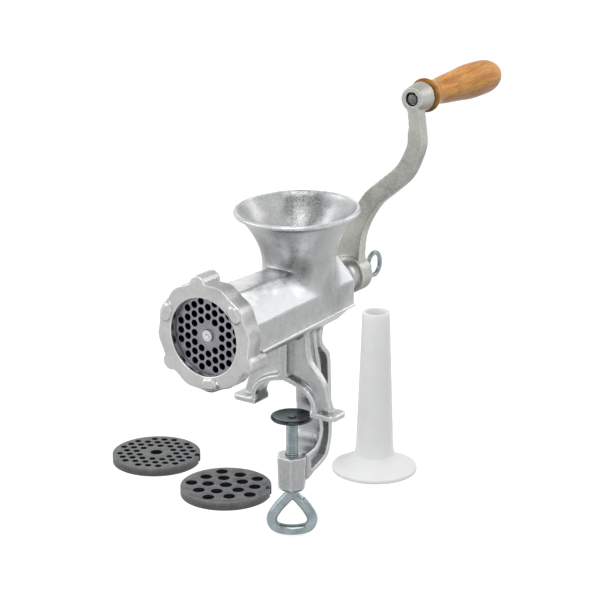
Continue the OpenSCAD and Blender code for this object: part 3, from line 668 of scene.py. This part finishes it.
def add_shank(bm):
    """The clamp screw's round shank with a shallow thread, which fades out at both ends."""
    length = SHANK_HIGH_Z - SHANK_LOW_Z
    rows = int(length / (0.25 * MM))
    sides = 40
    rings = []
    for i in range(rows + 1):
        z = SHANK_LOW_Z + length * i / rows
        fade = min(1, (z - SHANK_LOW_Z) / (2 * THREAD_PITCH), (SHANK_HIGH_Z - z) / (0.5 * THREAD_PITCH))
        ring = []
        for k in range(sides):
            a = 2 * math.pi * k / sides
            wave = 0.5 - 0.5 * math.cos(2 * math.pi * (z / THREAD_PITCH) - a)
            here = SHANK_R - THREAD_DEPTH * max(fade, 0) * wave
            ring.append(bm.verts.new((here * math.cos(a), here * math.sin(a), z)))
        rings.append(ring)
    for one, two in zip(rings, rings[1:]):
        for k in range(sides):
            m = (k + 1) % sides
            bm.faces.new((one[k], one[m], two[m], two[k]))
    bm.faces.new(rings[0][::-1])
    bm.faces.new(rings[-1])


def crisp_part(name, node, bevel, material=None):
    """A machined part: the CAD shape with a small rounded edge."""
    obj = make(name, welded(node), node, material)
    modifier = obj.modifiers.new("edge", "BEVEL")
    modifier.width = bevel
    modifier.segments = 2
    modifier.limit_method = "ANGLE"
    modifier.angle_limit = math.radians(28)
    applied(obj)
    shade(obj, 50)
    return obj


def hole_plate(name, node, bevel, axis):
    """A hole plate, whose holes run along `axis` and have dark walls, as they are too deep for the light."""
    mesh = crisp_part(name, node, bevel).data
    middle = middle_of(node)
    mesh.materials.append(HOLE_WALL_SHADE)
    for face in mesh.polygons:
        away = Vector(face.center) - middle
        away[axis] = 0
        if abs(face.normal[axis]) < 0.4 and away.length < HOLES_R:
            face.material_index = 1


def clamp_screw():
    """The clamp screw: the CAD loop on a shank with a fine thread, and a tip as dark as its disc.

    The CAD shank is drawn in, so that it lies inside the threaded one."""
    skin = Skin(remeshed(welded("clamp_screw"), 0.45 * MM))
    skin.even(2)
    skin.smooth(1)
    skin.write()
    mesh = skin.mesh
    for vertex in mesh.vertices:
        x, y, z = vertex.co
        if z > LOOP_HIGH_Z and math.hypot(x, y) > CORE_R:
            vertex.co = (x * CORE_SHRINK, y * CORE_SHRINK, z)
    with_extra(mesh, add_shank)
    obj = make("screw_with_loop", mesh, "clamp_screw")
    mesh.materials.append(MATERIALS["disc_steel"])
    for face in mesh.polygons:
        if face.center.z > TIP_Z:
            face.material_index = 1
    shade(obj, 50)


def pressure_disc():
    """The dished disc, with a thick rounded rim."""
    low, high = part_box("clamp_disc")
    rim = 16.5
    profile = [(3.6, 0), (15.0, 0), (16.0, 0.3), (rim, 1.1), (16.45, 2.0), (15.9, 2.75), (14.9, 3.0),
               (13.8, 2.8), (12.4, 2.3), (9.0, 1.75), (5.5, 1.6), (3.6, 1.6)]
    mesh = lathe("disc", [(r * high.x / rim, low.z + z * MM) for r, z in profile], 96)
    shade(make("pressure_disc", mesh, "clamp_disc"), 60)


body_casting()
soft_part("ring", "ring_nut", voxel=0.6 * MM, rounds=2, fill_rounds=6, lump=0.06 * MM, seed=3,
          extra=ring_pips, material=RING_FINISH)
soft_part("crank", "crank_arm", voxel=0.65 * MM, rounds=3, fill_rounds=10, lump=0.07 * MM, seed=4,
          kept=pin_recess)
hole_plate("plate_mounted", "plate_medium", bevel=0.15 * MM, axis=1)
hole_plate("plate_small_holes", "plate_fine", bevel=0.3 * MM, axis=2)
hole_plate("plate_large_holes", "plate_coarse", bevel=0.35 * MM, axis=2)
clamp_screw()
pressure_disc()
for piece, node, bevel in (
    ("eye_screw", "crank_screw", 0.2 * MM),
    ("stud", "auger_stud", 0.3 * MM),
    ("handle", "wood_handle", 0.5 * MM),
    ("handle_rivet", "handle_pin", 0.7 * MM),
    ("tube", "stuffing_tube", 0.4 * MM),
):
    crisp_part(piece, node, bevel, PIN_FINISH if node == "handle_pin" else None)

# the CAD pieces: those that nothing replaces are seen as they are
for node, obj in nodes.items():
    obj.data.materials.clear()
    # the cutter knife is painted near black as painted shade, as it lies behind the plate
    obj.data.materials.append(KNIFE_SHADE if node == "cutter_knife" else MATERIALS[SLOT[node]])


# Stage, light and camera


def seen(s_add, s_link):
    """1 for rays that should see the white background: camera, glossy and transmission rays."""
    path = s_add("ShaderNodeLightPath")
    total = path.outputs["Is Camera Ray"]
    for name in ("Is Glossy Ray", "Is Transmission Ray"):
        more = s_add("ShaderNodeMath", operation="MAXIMUM")
        s_link(total, more.inputs[0])
        s_link(path.outputs[name], more.inputs[1])
        total = more.outputs[0]
    return total


def stage_material(name, glow_strength):
    """White to the eye, and it keeps the object's shadow."""
    s = Shader(name)
    s.set(Base_Color=(0.4, 0.4, 0.4, 1), Roughness=1.0, Specular_IOR_Level=0.0)
    glow = s.add("ShaderNodeEmission")
    glow.inputs["Color"].default_value = (1, 1, 1, 1)
    s.link(s.maths("MULTIPLY", seen(s.add, s.link), glow_strength), glow.inputs["Strength"])
    both = s.add("ShaderNodeAddShader")
    s.link(s.surface.outputs["BSDF"], both.inputs[0])
    s.link(glow.outputs["Emission"], both.inputs[1])
    s.link(both.outputs["Shader"], s.tree.nodes["Material Output"].inputs["Surface"])
    return s.material


def stage_disc(name, centre, radius, top, depth, material):
    """A plain round slab of the stage, which isn't part of the object."""
    bm = bmesh.new()
    bmesh.ops.create_cone(bm, cap_ends=True, segments=128, radius1=radius, radius2=radius, depth=depth)
    bmesh.ops.translate(bm, verts=bm.verts, vec=(*centre, top - depth / 2))
    mesh = bpy.data.meshes.new(name)
    bm.to_mesh(mesh)
    bm.free()
    obj = bpy.data.objects.new(name, mesh)
    bpy.context.scene.collection.objects.link(obj)
    mesh.materials.append(material)


stage_disc("floor", (0, 0), FLOOR_R, FLOOR_Z, FLOOR_THICK, stage_material("floor_white", 0.8))
STAND_WHITE = stage_material("stand_white", 1.0)
for node in ("plate_fine", "plate_coarse", "stuffing_tube"):
    sole_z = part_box(node)[0].z
    stage_disc("stand_" + node, middle_of(node)[:2], STAND_R, sole_z, sole_z - FLOOR_Z, STAND_WHITE)


def studio_world():
    """A white room: bright at the horizon and softer overhead, and plain white to the camera."""
    world = bpy.data.worlds.new("studio")
    bpy.context.scene.world = world
    world.use_nodes = True
    tree = world.node_tree

    def add(kind, **settings):
        node = tree.nodes.new(kind)
        for key, value in settings.items():
            setattr(node, key, value)
        return node

    split = add("ShaderNodeSeparateXYZ")
    tree.links.new(add("ShaderNodeTexCoord").outputs["Generated"], split.inputs[0])
    ramp = add("ShaderNodeValToRGB")
    tree.links.new(split.outputs["Z"], ramp.inputs["Fac"])
    ramp.color_ramp.elements[0].position = 0.15
    ramp.color_ramp.elements[0].color = (1, 1, 1, 1)
    ramp.color_ramp.elements[1].position = 0.8
    ramp.color_ramp.elements[1].color = (CEILING,) * 3 + (1,)
    mix = add("ShaderNodeMix", data_type="RGBA")
    mix.inputs[7].default_value = (1, 1, 1, 1)
    tree.links.new(ramp.outputs["Color"], mix.inputs[6])
    tree.links.new(add("ShaderNodeLightPath").outputs["Is Camera Ray"], mix.inputs[0])
    background = tree.nodes["Background"]
    tree.links.new(mix.outputs[2], background.inputs["Color"])
    level = add("ShaderNodeMapRange")
    level.inputs["To Min"].default_value = ROOM_LIGHT
    level.inputs["To Max"].default_value = 1.0
    tree.links.new(seen(add, tree.links.new), level.inputs["Value"])
    tree.links.new(level.outputs["Result"], background.inputs["Strength"])


studio_world()


def softbox(name, at, aim, size, power):
    """A large soft lamp: its place, what it points at, its two sides in metres and its watts."""
    light = bpy.data.lights.new(name, "AREA")
    light.shape = "RECTANGLE"
    light.size, light.size_y = size
    light.energy = power
    obj = bpy.data.objects.new(name, light)
    obj.location = at
    obj.rotation_euler = (Vector(at) - Vector(aim)).to_track_quat("Z", "Y").to_euler()
    bpy.context.scene.collection.objects.link(obj)


TARGET = (0.02, -0.04, 0.09)
softbox("key", (0.5, -1.2, 1.7), TARGET, (0.9, 0.9), 9)
softbox("fill", (-1.5, -1.0, 0.9), TARGET, (1.2, 1.2), 6)
softbox("back", (0.9, 1.7, 1.1), TARGET, (1.3, 0.9), 4.5)

camera = bpy.data.objects.new("camera", bpy.data.cameras.new("camera"))
camera.data.lens = CAMERA_LENS
camera.data.sensor_width = CAMERA_SENSOR
camera.data.clip_end = 20
camera.location = CAMERA_AT
camera.rotation_euler = (math.radians(90 - CAMERA_TILT), 0, math.radians(CAMERA_TURN))
bpy.context.scene.collection.objects.link(camera)
bpy.context.scene.camera = camera
bpy.context.scene.view_settings.view_transform = "Standard"
